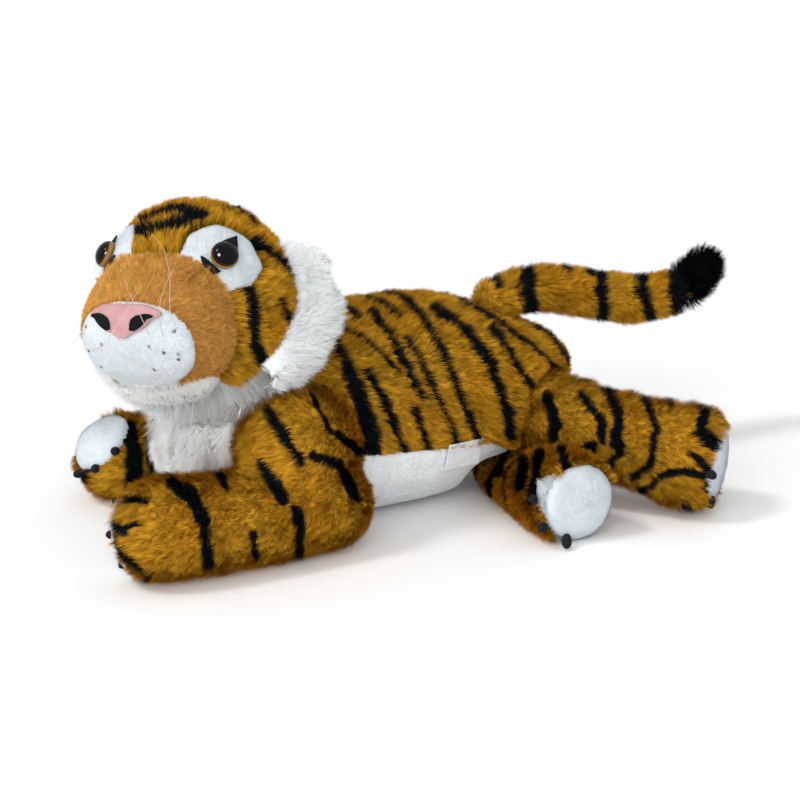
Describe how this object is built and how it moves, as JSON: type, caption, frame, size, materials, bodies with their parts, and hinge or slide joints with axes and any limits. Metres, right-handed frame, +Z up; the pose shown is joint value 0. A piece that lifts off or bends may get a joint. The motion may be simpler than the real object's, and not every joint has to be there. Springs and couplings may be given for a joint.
{
  "type": "plush tiger",
  "caption": "Lying plush tiger with stuffed fur body, turning and nodding head, legs that lift or swing at their seams and a long tail that wags",
  "frame": {"origin": "middle of the flat patch of belly that the tiger rests on", "axes": "+X from the chest toward the tail, +Y toward the tiger's right side, +Z up"},
  "size_m": [0.4975, 0.2678, 0.2069],
  "materials": {
    "tiger_fur": "soft pile with dark stripes",
    "white_cloth": "short white pile",
    "ivory_pile": "long ivory pile",
    "tan_pile": "short tan pile",
    "black_felt": "matt black felt or pile",
    "pink_cloth": "smooth pink cloth",
    "filling": "polyester fibre filling",
    "amber_eye": "glossy amber plastic with a black pupil",
    "clear_plastic": "plain moulded plastic",
    "clear_hair": "clear nylon monofilament"
  },
  "bodies": {
    "torso": {"back_fur": "tiger_fur", "belly_panel": "white_cloth", "torso_stuffing": "filling", "side_label": "white_cloth", "chest_bib": "ivory_pile"},
    "neck": {"neck_band": "tiger_fur"},
    "head": {"crown_fur": "tiger_fur", "head_stuffing": "filling", "muzzle_bridge": "tan_pile", "muzzle_front": "white_cloth", "muzzle_stuffing": "filling", "nose_pad": "pink_cloth", "chin": "white_cloth", "eye_patch_left": "white_cloth", "eye_left": "amber_eye", "eye_washer_left": "clear_plastic", "eyelid_left": "black_felt", "eye_corner_left": "black_felt", "nostril_left": "black_felt", "ear_left": "white_cloth", "ruff_left": "white_cloth", "whisker_left_1": "clear_hair", "whisker_left_2": "clear_hair", "eye_patch_right": "white_cloth", "eye_right": "amber_eye", "eye_washer_right": "clear_plastic", "eyelid_right": "black_felt", "eye_corner_right": "black_felt", "nostril_right": "black_felt", "ear_right": "white_cloth", "ruff_right": "white_cloth", "whisker_right_1": "clear_hair", "whisker_right_2": "clear_hair"},
    "leg_front_left": {"leg_fur_front_left": "tiger_fur", "leg_stuffing_front_left": "filling", "sole_front_left": "white_cloth", "claw_front_left_1": "black_felt", "claw_front_left_2": "black_felt", "claw_front_left_3": "black_felt"},
    "leg_front_right": {"leg_fur_front_right": "tiger_fur", "leg_stuffing_front_right": "filling", "sole_front_right": "white_cloth", "claw_front_right_1": "black_felt", "claw_front_right_2": "black_felt", "claw_front_right_3": "black_felt"},
    "leg_hind_left": {"leg_fur_hind_left": "tiger_fur", "leg_stuffing_hind_left": "filling", "sole_hind_left": "white_cloth", "claw_hind_left_1": "black_felt", "claw_hind_left_2": "black_felt", "claw_hind_left_3": "black_felt"},
    "leg_hind_right": {"leg_fur_hind_right": "tiger_fur", "leg_stuffing_hind_right": "filling", "sole_hind_right": "white_cloth", "claw_hind_right_1": "black_felt", "claw_hind_right_2": "black_felt", "claw_hind_right_3": "black_felt"},
    "tail": {"tail_fur": "tiger_fur", "tail_stuffing": "filling", "tail_tip": "black_felt"}
  },
  "joints": [
    {"name": "head_turn", "type": "hinge", "parent": "torso", "child": "neck", "pos_m": [-0.117, -0.011, 0.143], "axis": [0, 0, 1], "range_deg": [-15, 15], "stiffness_Nm_per_rad": 0.6},
    {"name": "head_nod", "type": "hinge", "parent": "neck", "child": "head", "pos_m": [-0.117, -0.011, 0.143], "axis": [-0.559, 0.8246, -0.0871], "range_deg": [-6, 10], "stiffness_Nm_per_rad": 0.6},
    {"name": "front_left_lift", "type": "hinge", "parent": "torso", "child": "leg_front_left", "pos_m": [-0.07613, -0.06198, 0.05998], "axis": [0, 0.9207, 0.3903], "range_deg": [-12, 15], "stiffness_Nm_per_rad": 0.3},
    {"name": "front_right_lift", "type": "hinge", "parent": "torso", "child": "leg_front_right", "pos_m": [-0.07613, 0.06198, 0.05998], "axis": [0, 0.9207, -0.3903], "range_deg": [-12, 15], "stiffness_Nm_per_rad": 0.3},
    {"name": "hind_left_lift", "type": "hinge", "parent": "torso", "child": "leg_hind_left", "pos_m": [0.1121, -0.04601, 0.05199], "axis": [-0.8336, -0.5524, 0], "range_deg": [0, 20], "stiffness_Nm_per_rad": 0.3},
    {"name": "hind_right_swing", "type": "hinge", "parent": "torso", "child": "leg_hind_right", "pos_m": [0.09795, 0.00802, 0.03406], "axis": [0, 0, 1], "range_deg": [-8, 0], "stiffness_Nm_per_rad": 0.3},
    {"name": "tail_wag", "type": "hinge", "parent": "torso", "child": "tail", "pos_m": [0.10013, 0, 0.11675], "axis": [0, 0, 1], "range_deg": [-25, 25], "stiffness_Nm_per_rad": 0.05}
  ]
}
